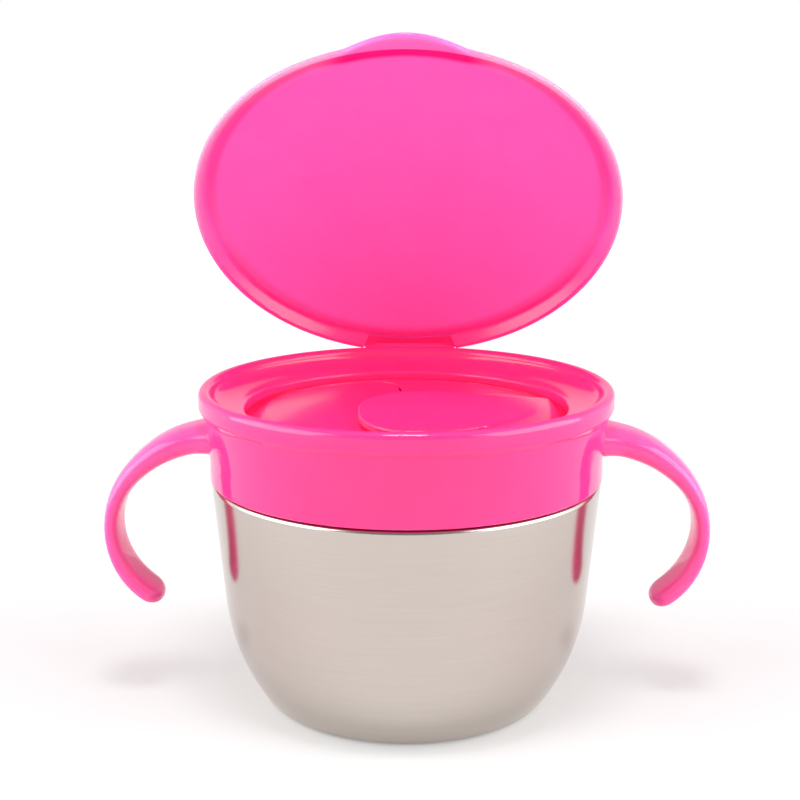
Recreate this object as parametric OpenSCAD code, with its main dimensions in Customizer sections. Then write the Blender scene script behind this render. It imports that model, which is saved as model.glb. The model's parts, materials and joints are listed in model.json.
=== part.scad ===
// Toddler snack container: a deep-drawn steel cup with a moulded collar, two open
// hook handles, a hinged lid and a soft insert with two overlapping flaps.
// Millimetres. The origin is the centre of the base, +Z is up and -Y is the front.

/* [Steel cup] */
// Outside radius of the steel where the collar begins
cup_r = 42.75; // [40:0.05:44]
// Height of the visible steel, from the base to the collar
steel_h = 50.5; // [46:0.5:56]
// Slope of the straight part of the wall, in degrees from upright
wall_slope = 5.5; // [4.5:0.1:6]
// Radius of the large arc that rounds the wall in towards the base
bowl_r = 45; // [43:0.5:47]
// Radius of the corner between the bowl and the flat base
base_corner_r = 3.1; // [2:0.1:4]
// Radius of the flat that the cup stands on
base_r = 29.35; // [28:0.05:30.5]
// Thickness of the drawn steel
steel_t = 0.6; // [0.5:0.05:0.7]
// Width of the seat turned in at the top of the neck
rim_seat_w = 2.4; // [1.8:0.1:3]
// Radius of the rounded shoulder under the collar
shoulder_r = 0.8; // [0.75:0.05:1.2]

/* [Collar] */
// How far the collar stands proud of the steel at its lower edge
collar_step = 0.2; // [0:0.05:0.6]
// Thickness of the collar wall at its lower edge
collar_wall = 2.8; // [2.4:0.1:3.2]
// Height from the collar's lower edge to the top of its rim
collar_h = 19.9; // [19:0.1:23]
// How far the rolled rim stands out from the collar's lower wall
rim_over = 2.2; // [1.9:0.1:2.9]
// Radius of the rim's section at its crest
crest_r = 1.4; // [1.2:0.1:1.6]
// Radius of the rim's section where it turns under
roll_r = 1.8; // [1.6:0.1:2.2]
// Height of the rolled rim, from its underside to its crest
rim_h = 4.8; // [4.2:0.1:5.4]
// Width of the funnel, from the inner side of the rim to the mouth
funnel_w = 7.2; // [6.6:0.1:8.4]
// Depth from the crest of the rim to the edge of the mouth
funnel_drop = 4.4; // [3.8:0.1:5]
// Thickness of the collar at the edge of the mouth
mouth_t = 1.8; // [1.4:0.1:2.4]
// Radius that softens the collar's lower edge
collar_edge_r = 0.5; // [0.3:0.1:1]

/* [Handles] */
// Radius of the hook's centre line
hook_r = 18.2; // [16:0.1:20]
// Distance of the hook's centre outside the collar's lower wall
hook_out = 3.9; // [2:0.1:6]
// Distance of the hook's centre below the crest of the rim
hook_drop = 32.4; // [31:0.1:34]
// Angle below straight out at which the free tip ends
tip_angle = 65; // [30:1:70]
// Thickness of the hook at its thinnest
hook_t = 3.8; // [3.2:0.1:5]
// Thickness of the hook where it grows out of the collar
root_t = 6.9; // [6:0.1:8]
// Thickness of the hook near its tip
tip_t = 4.6; // [3.4:0.1:6]
// Width of the hook, front to back
hook_w = 11.5; // [8:0.1:16]
// How much the hook rises out of its circle at the root
root_lift = 3.3; // [0:0.1:3.8]

/* [Soft insert] */
// Thickness of the insert's clamped flange
flange_t = 1.7; // [1.4:0.1:2]
// Distance of the raised disc's edge inside the mouth
disc_in = 4.55; // [4:0.05:5]
// Height of the disc's edge above the clamped flange
disc_rise = 0.8; // [0.6:0.1:1.2]
// Distance of the groove round the disc inside the mouth
groove_in = 0.7; // [0.5:0.1:1]
// Depth of the groove below the clamped flange
groove_d = 0.8; // [0.4:0.1:1]
// Extra height of the disc at its middle
disc_crown = 0.5; // [0.2:0.1:1]
// Thickness of the lower flap and the fixed web
web_t = 1.2; // [1:0.1:1.4]
// Thickness of the upper flap
flap_t = 1.8; // [1.4:0.1:2]
// Space between the upper flap and the one below it
flap_gap = 0.5; // [0.4:0.1:0.7]
// Width of the slits round the flaps
slit_w = 0.45; // [0.4:0.05:0.6]
// Distance of the upper flap's bending line from the middle
upper_line_x = 12; // [10:0.5:15]
// Distance of the lower flap's bending line inside the disc's edge
lower_line_in = 4.6; // [3.6:0.1:5.6]
// How far the upper flap's round nose reaches past the middle
nose_reach = 10; // [8:0.5:11]
// How far in front of the middle the nose is centred
nose_front = 11; // [9:0.5:12]
// Half length of the nose behind its centre
nose_rear = 17; // [15:0.5:18]
// How far the lower flap reaches under the upper one, past the middle
tuck_reach = 3; // [1:0.5:5]
// Radius of the lower flap's round lobe
lobe_r = 10.5; // [9:0.5:11.5]
// Distance of the lobe's centre to the left of the middle
lobe_left = 12.5; // [11:0.5:14]
// Distance of the lobe's centre behind the middle
lobe_back = 19; // [18:0.5:20]

/* [Lid] */
// How far the lid's free edge reaches beyond the rim
lid_over = 2.55; // [2.5:0.05:3.2]
// Thickness of the lid
lid_t = 1.5; // [1.3:0.1:1.7]
// Depth of the free edge below the face that meets the rim
skirt_h = 3; // [2.8:0.1:3.2]
// Slope of the flared band round the lid, in degrees from the lid's plane
band_slope = 42; // [38:1:45]
// Distance of the crease round the domed plate inside the outside of the rim
crease_in = 1.7; // [1.4:0.1:2.5]
// Rise of the domed plate from the crease to its middle
dome_h = 4; // [3:0.5:6]
// Angle at which the lid stands open, in degrees from closed
lid_open = 51.3; // [30:0.1:80]
// Reach of the thumb tab beyond the lid's edge
tab_reach = 2.6; // [1.5:0.1:4]
// Plan radius of the thumb tab's curved edge
tab_r = 19; // [17:0.5:28]
// Thickness of the thumb tab
tab_t = 2.2; // [1.8:0.1:2.6]
// How far the thumb tab hangs below the lid's free edge
tab_drop = 1.2; // [0.6:0.1:1.5]

/* [Living hinge] */
// Width of the hinge strap
strap_w = 19; // [12:1:20]
// Distance of the bending line behind the outside of the rim
line_back = 2.35; // [2.2:0.05:2.8]
// Depth of the bending line below the crest of the rim
line_drop = 0.4; // [0.2:0.1:0.6]
// Thickness of the strap's leaf on the lid
leaf_t = 1.4; // [1.2:0.1:1.6]
// Height of the strap's leaf on the collar
leaf_h = 5; // [4:0.1:6]
// Radius of the fine bead that stands for the bending web
web_bead_r = 0.45; // [0.4:0.05:0.5]

/* [Clearances] */
// Space between parts that lie close without touching
clear = 0.3; // [0.25:0.05:0.35]
// Space round the bead of the living hinge
web_clear = 0.12; // [0.1:0.01:0.15]

/* [Hidden] */

$fn = 96;
pink = [0.98, 0.30, 0.60];
soft_pink = [0.96, 0.34, 0.56];
clear_pink = [0.99, 0.38, 0.70];
steel = [0.80, 0.77, 0.74];

// Heights and radii that the pieces share
collar_r = cup_r + collar_step;
bore_r = collar_r - collar_wall;
neck_r = bore_r - clear;
rim_r = collar_r + rim_over;
mouth_r = rim_r - 2 * crest_r - funnel_w;
disc_r = mouth_r - disc_in;
groove_r = mouth_r - groove_in;
lid_r = rim_r + lid_over;
crease_r = rim_r - crease_in;
rim_top = steel_h + collar_h;
mouth_z = rim_top - funnel_drop;
seat_z = mouth_z - mouth_t;
neck_top = seat_z - flange_t;
shoulder_z = steel_h - clear;
crest_c = [rim_r - crest_r, rim_top - crest_r];
roll_turn = 60;
roll_c = [rim_r - roll_r, rim_top - rim_h + roll_r * sin(roll_turn)];
disc_z = seat_z + disc_rise;
groove_z = seat_z - groove_d;
line_y = rim_r + line_back;
line_z = rim_top - line_drop;
landing_z = rim_top + clear;
edge_z = landing_z - skirt_h;
lower_line_x = disc_r - lower_line_in;
// Outer wall of the slits, just inside the disc, and the flaps' round outer edges
slit_r = disc_r - 0.1;
cut_r = slit_r - slit_w;
// Larger than anything here, for cuts that go right through
big = 120;

// Points on an arc of the given centre and radius, from angle a0 to a1
function arc(c, r, a0, a1, n = 8) =
    [for (i = [0:n]) let (a = a0 + (a1 - a0) * i / n) c + r * [cos(a), sin(a)]];

// List backwards, to walk back along the inner face of a wall
function flip(list) = [for (i = [len(list) - 1:-1:0]) list[i]];

// Steel cup: the outer face of the sheet, or with d the face at depth d below it.
// The straight wall runs into the bowl arc, and the bowl into the base corner,
// each tangent to the next, so the bowl's centre is found from both ends.
wall_n = [-cos(wall_slope), sin(wall_slope)];
wall_d = [-sin(wall_slope), -cos(wall_slope)];
corner_c = [base_r, base_corner_r];
bowl_start = [cup_r, steel_h] + bowl_r * wall_n;
bowl_w = bowl_start - corner_c;
bowl_k = -bowl_w * wall_d
    - sqrt(pow(bowl_w * wall_d, 2) - bowl_w * bowl_w + pow(bowl_r - base_corner_r, 2));
bowl_c = bowl_start + bowl_k * wall_d;
bowl_end = atan2(corner_c[1] - bowl_c[1], corner_c[0] - bowl_c[0]);
shoulder_k = (steel_h - shoulder_z + shoulder_r * (1 + sin(wall_slope))) / cos(wall_slope);
shoulder_c = [cup_r, steel_h] + shoulder_k * wall_d + shoulder_r * wall_n;
fillet_r = 0.6;
fillet_c = [neck_r + fillet_r, shoulder_z + fillet_r];
lip_c = [neck_r - shoulder_r, neck_top - shoulder_r];

function cup_face(d) = concat(
    [[0, d]],
    arc(corner_c, base_corner_r - d, -90, bowl_end, 6),
    arc(bowl_c, bowl_r - d, bowl_end, -wall_slope, 18),
    arc(shoulder_c, shoulder_r - d, -wall_slope, 90, 5),
    arc(fillet_c, fillet_r + d, 270, 180, 4),
    arc(lip_c, shoulder_r - d, 0, 90, 5),
    [[neck_r - rim_seat_w, neck_top - d]]
);

module steel_cup() {
    color(steel)
    rotate_extrude()
    polygon(concat(cup_face(0), flip(cup_face(steel_t))));
}

// Collar: the outer face, from the lower edge up over the rolled rim to the funnel.
// Above a straight foot it flares out gently to the underside of the roll.
foot_h = 4.5;
flare_power = 1.25;
flare_z = steel_h + foot_h;
under_z = rim_top - rim_h;
flare_r = roll_c[0] + roll_r * cos(roll_turn);
function flare_face(n = 8) =
    [for (i = [0:n - 1]) [collar_r + (flare_r - collar_r) * pow(i / n, flare_power),
                          flare_z + (under_z - flare_z) * i / n]];
function collar_outside() = concat(
    arc([collar_r - collar_edge_r, steel_h + collar_edge_r], collar_edge_r, -90, 0, 4),
    flare_face(),
    arc(roll_c, roll_r, -roll_turn, 0, 8),
    arc(crest_c, crest_r, 0, 90, 8)
);
// Funnel: a quarter ellipse from the inner side of the crest down to the mouth
funnel_h = crest_c[1] - mouth_z;
mouth_edge_r = 0.5;
function funnel_face() = concat(
    arc(crest_c, crest_r, 90, 180, 8),
    [for (a = [10:10:80]) [mouth_r + funnel_w * cos(a), crest_c[1] - funnel_h * sin(a)]],
    arc([mouth_r + mouth_edge_r, mouth_z - mouth_edge_r], mouth_edge_r, 90, 180, 4)
);

module collar() {
    color(pink)
    rotate_extrude()
    polygon(concat(
        [[bore_r, steel_h + collar_edge_r], [bore_r + collar_edge_r, steel_h]],
        collar_outside(),
        funnel_face(),
        [[mouth_r, seat_z], [bore_r, seat_z]]
    ));
}

// The collar without its hollow, to cut what grows out of its outside
module collar_envelope() {
    rotate_extrude()
    polygon(concat([[0, steel_h]], collar_outside(), [[0, rim_top]]));
}

// Hook handle, drawn for the +X side. Angle 0 is straight out and 90 is up. The
// section is a rounded D whose thickness eases from root to thin middle to tip.
// Angles: end at the root, thinnest place, start of the lift, and the rounded tip.
root_angle = 106;
thin_angle = 8;
lift_from = 40;
cap_angle = 14;
// The section is a superellipse, flatter on the side that faces the cup
hook_power = 2.5;
inner_flat = 0.88;
tip_width = 0.55;
hook_c = [collar_r + hook_out, rim_top - hook_drop];
function ease(x) = x <= 0 ? 0 : x >= 1 ? 1 : x * x * (3 - 2 * x);
function thick_at(a) = a > thin_angle
    ? hook_t + (root_t - hook_t) * pow(ease((a - thin_angle) / (root_angle - thin_angle)), 0.8)
    : hook_t + (tip_t - hook_t) * ease((thin_angle - a) / (thin_angle + tip_angle - cap_angle));
function lift_at(a) = root_lift * pow(max(0, (a - lift_from) / (root_angle - lift_from)), 2);
function cap_at(a) = a > cap_angle - tip_angle
    ? 1 : sqrt(max(0.02, 1 - pow((cap_angle - tip_angle - a) / cap_angle, 2)));
function hook_ring(a, n = 20) =
    let (k = cap_at(a), t = thick_at(a) * k / 2,
         w = hook_w * (tip_width + (1 - tip_width) * k) * k / 2)
    [for (j = [0:n - 1])
        let (b = 360 * j / n, c = cos(b), s = sin(b), flat = s < 0 ? inner_flat : 1,
             rad = hook_r + lift_at(a) + flat * t * sign(s) * pow(abs(s), 2 / hook_power),
             y = w * sign(c) * pow(abs(c), 2 / hook_power))
        [hook_c[0] + rad * cos(a), y, hook_c[1] + rad * sin(a)]];

module hook(n = 20) {
    body = [for (a = [root_angle:-5:cap_angle - tip_angle]) a];
    cap = [for (q = [15:15:90]) cap_angle - tip_angle - cap_angle * sin(q)];
    stations = concat(body, cap);
    rings = [for (a = stations) each hook_ring(a, n)];
    last = len(stations) - 1;
    sides = [for (i = [0:last - 1], j = [0:n - 1])
        let (p = i * n + j, q = i * n + (j + 1) % n)
        each [[p, q, q + n], [p, q + n, p + n]]];
    ends = [[for (j = [n - 1:-1:0]) j], [for (j = [0:n - 1]) last * n + j]];
    polyhedron(rings, concat(sides, ends));
}

module right_handle() {
    color(pink)
    difference() {
        hook();
        collar_envelope();
    }
}

module left_handle() {
    mirror([1, 0, 0]) right_handle();
}

// Soft insert: height of the disc's upper face at radius r, raised by up at the disc
function disc_top(r, up = 0) = r <= disc_r
    ? disc_z + up + disc_crown * (1 - pow(r / disc_r, 2))
    : r >= groove_r ? groove_z
    : groove_z + (disc_z + up - groove_z) * (1 - ease((r - disc_r) / (groove_r - disc_r)));
function disc_steps(r1) = [for (i = [0:8]) r1 * i / 8];
shoulder_steps = [for (i = [1:6]) disc_r + (groove_r - disc_r) * i / 6];

// A shell that follows the disc out to radius r1, between two offsets from its face
module disc_shell(r1, low, high) {
    rotate_extrude()
    polygon(concat(
        [for (r = disc_steps(r1)) [r, disc_top(r) + low]],
        [for (r = flip(disc_steps(r1))) [r, disc_top(r) + high]]
    ));
}

// Plan of the upper flap, grown by g on its free edges: a round nose to the left
// and front, and a nearly straight rear edge that runs to the ring on the right.
// In front the nose runs out past the ring.
nose_c = [6, -nose_front];
nose_power = 2.4;
nose_ahead = 20;
rear_slope = 0.2;
function nose_edge(g) = [for (a = [90:6:270])
    let (c = cos(a), s = sin(a), half = s > 0 ? nose_rear : nose_ahead)
    nose_c + [-(nose_c[0] + nose_reach + g) * pow(abs(c), 2 / nose_power),
              sign(s) * (half + g) * pow(abs(s), 2 / nose_power)]];
module upper_plan(g = 0) {
    reach = 2 * disc_r;
    rear_y = nose_rear - nose_front + g;
    polygon(concat(
        [[reach, rear_y - rear_slope * (reach - nose_c[0])]],
        nose_edge(g),
        [[reach, -reach]]
    ));
}

// Plan of the lower flap, grown by g on its free edges: a round lobe at the rear
// left whose edge swings forward and tucks under the upper flap
lobe_c = [-lobe_left, lobe_back];
tuck_len = 15;
function tuck_edge(g) = [for (i = [0:8])
    let (u = i / 8, start = lobe_c[0] + lobe_r)
    [start + (tuck_reach - start) * ease(u) + g, lobe_c[1] - tuck_len * u]];
module lower_plan(g = 0) {
    reach = 2 * disc_r;
    polygon(concat(
        [[-reach, reach], [lobe_c[0], reach], [lobe_c[0], lobe_c[1] + lobe_r + g]],
        arc(lobe_c, lobe_r + g, 90, 6, 10),
        tuck_edge(g),
        [[tuck_reach + g, -nose_front], [g, -reach], [-reach, -reach]]
    ));
}

// Everything on the side of the line x = x0 that dir points to
module half_plane(x0, dir) {
    translate([dir > 0 ? x0 : x0 - big, -big / 2]) square(big);
}

module upper_flap() {
    color(soft_pink)
    intersection() {
        disc_shell(cut_r, flap_gap, flap_gap + flap_t);
        linear_extrude(big)
        intersection() {
            upper_plan();
            half_plane(upper_line_x, -1);
        }
    }
}

module lower_flap() {
    color(soft_pink)
    intersection() {
        disc_shell(cut_r, -web_t, 0);
        linear_extrude(big)
        intersection() {
            lower_plan();
            half_plane(-lower_line_x, 1);
        }
    }
}

// The flange clamped under the collar's mouth, the groove and the fixed web
module insert_ring() {
    grip_r = neck_r - rim_seat_w - clear;
    step_r = mouth_r + 2 * clear;
    rotate_extrude()
    polygon(concat(
        [[neck_r, neck_top], [neck_r, seat_z], [step_r, seat_z], [step_r, groove_z]],
        [for (r = flip(shoulder_steps)) [r, disc_top(r)]],
        [for (r = flip(disc_steps(disc_r))) [r, disc_top(r)]],
        [for (r = disc_steps(disc_r)) [r, disc_top(r) - web_t]],
        [for (r = shoulder_steps) [r, disc_top(r) - web_t]],
        [[step_r, groove_z - web_t], [grip_r, neck_top]]
    ));
}

// Fixed root of the upper flap, as high as the flap and sloped off at its outside
module upper_root() {
    up = flap_gap + flap_t;
    intersection() {
        rotate_extrude()
        polygon(concat(
            [for (r = disc_steps(disc_r)) [r, disc_top(r) - web_t / 2]],
            [[groove_r, groove_z - web_t / 2]],
            [for (i = [5:-1:1]) [shoulder_steps[i - 1], disc_top(shoulder_steps[i - 1], up)]],
            [for (r = flip(disc_steps(disc_r))) [r, disc_top(r, up)]]
        ));
        linear_extrude(big)
        intersection() {
            upper_plan();
            half_plane(upper_line_x + clear, 1);
        }
    }
}

module flap_insert() {
    color(soft_pink)
    union() {
        difference() {
            insert_ring();
            linear_extrude(big)
            intersection() {
                circle(slit_r);
                union() {
                    intersection() {
                        upper_plan(slit_w);
                        half_plane(upper_line_x + clear, -1);
                    }
                    intersection() {
                        lower_plan(slit_w);
                        half_plane(-lower_line_x - clear, 1);
                    }
                }
            }
        }
        upper_root();
    }
}

// Turns a piece of the lid from its closed place to where it stands open
module opened() {
    translate([0, line_y, line_z])
    rotate([-lid_open, 0, 0])
    translate([0, -line_y, -line_z])
    children();
}

// Lid, closed: a domed plate inside a flared band with a full round free edge. The
// inner face lands on the crest of the rim and leaves it along a tangent.
dome_c = (crease_r * crease_r - dome_h * dome_h) / (2 * dome_h);
dome_a = atan2(crease_r, dome_c);
function dome_face(z) = [for (i = [12:-1:0])
    let (a = dome_a * i / 12, r = dome_c + dome_h)
    [r * sin(a), z - dome_c + r * cos(a)]];
band_n = [sin(band_slope), cos(band_slope)];
edge_c = [lid_r - lid_t / 2, edge_z + lid_t / 2];
edge_in = edge_c - band_n * lid_t / 2;
edge_out = edge_c + band_n * lid_t / 2;
land_r = crest_r + clear;
land_v = edge_in - crest_c;
land_a = atan2(land_v[1], land_v[0]) + acos(land_r / norm(land_v));
knee_drop = 0.6;
crown_h = 0.42;
knee_z = landing_z + lid_t - knee_drop;
knee_r = edge_out[0] - (knee_z - edge_out[1]) / tan(band_slope);
module lid_turned() {
    rotate_extrude()
    polygon(concat(
        flip(dome_face(landing_z)),
        arc(crest_c, land_r, 90, land_a, 6),
        arc(edge_c, lid_t / 2, -90 - band_slope, 90 - band_slope, 8),
        [[knee_r, knee_z], [(knee_r + crease_r) / 2, knee_z + crown_h]],
        dome_face(landing_z + lid_t)
    ));
}

// The notch that makes room for the strap. It takes the lid's band away outside the
// circle on which the inner face leaves the rim.
notch_r = crest_c[0] + land_r * cos(land_a);
module strap_notch() {
    half = strap_w / 2 + clear;
    difference() {
        translate([-half, 0, 0]) cube([2 * half, big, big]);
        cylinder(h = big, r = notch_r);
    }
}

module lid() {
    color(clear_pink)
    opened()
    difference() {
        lid_turned();
        strap_notch();
    }
}

// Thumb tab: the part of a disc with a rounded edge that shows outside the lid
module thumb_tab() {
    soft = 0.4 * tab_t;
    color(clear_pink)
    opened()
    difference() {
        translate([0, tab_r - lid_r - tab_reach, edge_z - tab_drop])
        rotate_extrude()
        polygon(concat(
            [[0, 0]],
            arc([tab_r - soft, soft], soft, -90, 0, 5),
            arc([tab_r - soft, tab_t - soft], soft, 0, 90, 5),
            [[0, tab_t]]
        ));
        cylinder(h = big, r = edge_in[0] - clear);
        lid_turned();
    }
}

// Bar across the strap whose section is drawn in the YZ plane
module strap_bar(w) {
    translate([-w / 2, 0, 0])
    rotate([90, 0, 90])
    linear_extrude(w)
    children();
}

// Strap on the lid, closed: a flat leaf from the notch out to the bending line
module lid_hinge_leaf() {
    color(clear_pink)
    opened()
    difference() {
        translate([-strap_w / 2, 0, line_z + web_clear])
        cube([strap_w, line_y, leaf_t]);
        cylinder(h = big, r = notch_r);
        translate([-strap_w, line_y, line_z])
        rotate([0, 90, 0])
        cylinder(h = 2 * strap_w, r = web_bead_r + web_clear, $fn = 32);
    }
}

// Strap on the collar: a gusset behind the rim that carries the web's bead
module collar_hinge_leaf() {
    bed = 2;
    step = 0.15;
    neck = web_bead_r - 0.1;
    ledge_z = line_z - web_bead_r - 0.2;
    color(pink)
    difference() {
        union() {
            translate([-strap_w / 2, line_y, line_z])
            rotate([0, 90, 0])
            cylinder(h = strap_w, r = web_bead_r, $fn = 32);
            strap_bar(strap_w)
            polygon([
                [line_y + neck, line_z],
                [line_y + neck, ledge_z],
                [line_y + neck + step, ledge_z - step],
                [line_y + neck + step, ledge_z - leaf_t],
                [collar_r, ledge_z - leaf_h],
                [collar_r - bed, ledge_z - leaf_h],
                [collar_r - bed, ledge_z],
                [line_y - neck, ledge_z],
                [line_y - neck, line_z]
            ]);
        }
        collar_envelope();
    }
}

steel_cup();
collar();
left_handle();
right_handle();
flap_insert();
lower_flap();
upper_flap();
lid();
thumb_tab();
lid_hinge_leaf();
collar_hinge_leaf();
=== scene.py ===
import json
import math
import bmesh
import bpy
from mathutils import Matrix, Vector


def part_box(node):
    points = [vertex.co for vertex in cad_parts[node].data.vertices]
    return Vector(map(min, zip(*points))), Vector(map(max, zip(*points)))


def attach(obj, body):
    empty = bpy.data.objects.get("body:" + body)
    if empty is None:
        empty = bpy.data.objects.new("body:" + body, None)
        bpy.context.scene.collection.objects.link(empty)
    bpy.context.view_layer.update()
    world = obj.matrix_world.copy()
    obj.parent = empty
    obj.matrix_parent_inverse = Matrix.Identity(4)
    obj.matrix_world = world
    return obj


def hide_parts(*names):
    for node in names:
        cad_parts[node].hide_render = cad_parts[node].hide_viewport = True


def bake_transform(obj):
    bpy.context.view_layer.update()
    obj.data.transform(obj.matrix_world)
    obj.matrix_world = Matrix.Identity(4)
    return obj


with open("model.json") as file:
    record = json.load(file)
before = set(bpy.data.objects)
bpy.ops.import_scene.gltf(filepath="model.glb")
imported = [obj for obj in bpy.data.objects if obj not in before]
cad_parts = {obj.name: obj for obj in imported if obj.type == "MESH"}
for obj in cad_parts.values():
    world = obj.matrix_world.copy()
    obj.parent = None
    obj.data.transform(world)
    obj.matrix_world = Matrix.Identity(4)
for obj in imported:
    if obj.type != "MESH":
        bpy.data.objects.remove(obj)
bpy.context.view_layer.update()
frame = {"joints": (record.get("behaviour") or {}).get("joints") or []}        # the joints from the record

mm = 0.001  # in metres


# Small helpers
def linearColour(code):  # sRGB hex to linear RGBA
    parts = [int(code[i:i + 2], 16) / 255 for i in (1, 3, 5)]
    return [p / 12.92 if p <= 0.04045 else ((p + 0.055) / 1.055) ** 2.4 for p in parts] + [1.0]


def addNode(tree, kind, settings=None, values=None, links=None):
    node = tree.nodes.new(kind)
    for name, value in (settings or {}).items():
        setattr(node, name, value)
    for name, value in (values or {}).items():
        node.inputs[name].default_value = value
    for name, source in (links or {}).items():
        tree.links.new(source, node.inputs[name])
    return node


def ease(x):
    x = max(0.0, min(1.0, x))
    return x * x * (3 - 2 * x)


def arcPoints(centre, radius, start, end, count):
    angles = [math.radians(start + (end - start) * i / count) for i in range(count + 1)]
    return [(centre[0] + radius * math.cos(a), centre[1] + radius * math.sin(a)) for a in angles]


def finishMesh(obj, mergeAt=0.002, sharpAt=50):
    # doubles merged, end faces cut into triangles, normals turned outwards, smooth but for real corners
    work = bmesh.new()
    work.from_mesh(obj.data)
    bmesh.ops.remove_doubles(work, verts=work.verts, dist=mergeAt * mm)
    bmesh.ops.dissolve_degenerate(work, edges=work.edges, dist=mergeAt * mm / 2)
    bmesh.ops.triangulate(work, faces=[f for f in work.faces if len(f.verts) > 4])
    bmesh.ops.recalc_face_normals(work, faces=work.faces)
    work.to_mesh(obj.data)
    work.free()
    obj.data.shade_smooth()
    obj.data.set_sharp_from_angle(angle=math.radians(sharpAt))
    return obj


def tubeFaces(rings, around):
    # quads from ring to ring, and one face over each end
    faces = [(i * around + j, i * around + (j + 1) % around, (i + 1) * around + (j + 1) % around,
              (i + 1) * around + j) for i in range(rings - 1) for j in range(around)]
    return faces + [tuple(range(around)), tuple(range((rings - 1) * around, rings * around))]


def makePiece(name, points, faces, material):
    mesh = bpy.data.meshes.new(name)
    mesh.from_pydata([[c * mm for c in p] for p in points], [], faces)
    mesh.materials.append(material)
    obj = bpy.data.objects.new(name, mesh)
    bpy.context.collection.objects.link(obj)
    return finishMesh(obj)


# One Geometry Nodes tree spins every round piece from its half section
hubRadius = 1.0  # mm, the small circle that the section is carried round
seamMerge = 0.001  # mm, closes the seam and the poles


def buildSpinTree():
    tree = bpy.data.node_groups.new("spinSection", "GeometryNodeTree")
    sockets = tree.interface
    sockets.new_socket("Section", in_out="INPUT", socket_type="NodeSocketGeometry")
    steps = sockets.new_socket("Segments", in_out="INPUT", socket_type="NodeSocketInt")
    hub = sockets.new_socket("Hub radius", in_out="INPUT", socket_type="NodeSocketFloat")
    finish = sockets.new_socket("Finish", in_out="INPUT", socket_type="NodeSocketMaterial")
    sockets.new_socket("Geometry", in_out="OUTPUT", socket_type="NodeSocketGeometry")
    given = addNode(tree, "NodeGroupInput")
    section = addNode(tree, "GeometryNodeMeshToCurve", links={"Mesh": given.outputs["Section"]})
    circle = addNode(tree, "GeometryNodeCurvePrimitiveCircle", {"mode": "RADIUS"},
                     links={"Resolution": given.outputs["Segments"], "Radius": given.outputs["Hub radius"]})
    spun = addNode(tree, "GeometryNodeCurveToMesh",
                   links={"Curve": circle.outputs["Curve"], "Profile Curve": section.outputs["Curve"]})
    closed = addNode(tree, "GeometryNodeMergeByDistance", values={"Distance": seamMerge * mm},
                     links={"Geometry": spun.outputs["Mesh"]})
    real = addNode(tree, "GeometryNodeRealizeInstances", links={"Geometry": closed.outputs["Geometry"]})
    painted = addNode(tree, "GeometryNodeSetMaterial",
                      links={"Geometry": real.outputs["Geometry"], "Material": given.outputs["Finish"]})
    result = addNode(tree, "NodeGroupOutput")
    tree.links.new(painted.outputs["Geometry"], result.inputs["Geometry"])
    return tree, steps.identifier, hub.identifier, finish.identifier


spinTree, segmentsSocket, hubSocket, finishSocket = buildSpinTree()


def spinPiece(name, section, material, segments=256, closed=True):
    count = len(section)
    mesh = bpy.data.meshes.new(name + "Section")
    edges = [(i, i + 1) for i in range(count - 1)] + ([(count - 1, 0)] if closed else [])
    mesh.from_pydata([((r - hubRadius) * mm, -z * mm, 0) for r, z in section], edges, [])
    obj = bpy.data.objects.new(name, mesh)
    bpy.context.collection.objects.link(obj)
    spin = obj.modifiers.new("spin", "NODES")
    spin.node_group = spinTree
    spin[segmentsSocket] = segments
    spin[hubSocket] = hubRadius * mm
    spin[finishSocket] = material
    evaluated = obj.evaluated_get(bpy.context.evaluated_depsgraph_get())
    plain = bpy.data.meshes.new_from_object(evaluated)
    obj.modifiers.remove(spin)
    obj.data = plain
    bpy.data.meshes.remove(mesh)
    return finishMesh(obj)


# Shared sizes, read from the frame, in mm
collarLow, collarHigh = [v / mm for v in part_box("collar")]
rimR, rimTop, steelTop = collarHigh.x, collarHigh.z, collarLow.z
neckTop = (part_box("steel_cup")[1] / mm).z
joints = {j["name"]: j for j in frame["joints"]}
hingeY, hingeZ = [c / mm for c in joints["lid_hinge"]["pos_m"][1:]]
lidOpen = -joints["lid_hinge"]["range_deg"][0]
highLineX = joints["upper_flap_bend"]["pos_m"][0] / mm
lowLineX = joints["lower_flap_bend"]["pos_m"][0] / mm


# Materials
def newMaterial(name):
    material = bpy.data.materials.new(name)
    material.use_nodes = True
    tree = material.node_tree
    tree.nodes.clear()
    output = addNode(tree, "ShaderNodeOutputMaterial")
    shader = addNode(tree, "ShaderNodeBsdfPrincipled")
    tree.links.new(shader.outputs["BSDF"], output.inputs["Surface"])
    place = addNode(tree, "ShaderNodeTexCoord")
    return material, tree, shader, place


def fineBump(tree, shader, height, depth):
    bump = addNode(tree, "ShaderNodeBump", values={"Strength": 1.0, "Distance": depth * mm},
                   links={"Height": height})
    tree.links.new(bump.outputs["Normal"], shader.inputs["Normal"])


# Glossy polypropylene, injection moulded: a hard clear shine with a faint ripple from the tool
glossLook = {"colour": "#FF3685", "shade": "#FF3180", "roughness": 0.07, "roughSpread": (0.8, 1.25),
             "rippleSize": 9.0, "rippleDepth": 0.012, "ior": 1.49, "glow": 0.3, "glowDepth": 2.5,
             "glowTint": (1.0, 0.25, 0.45)}
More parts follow.
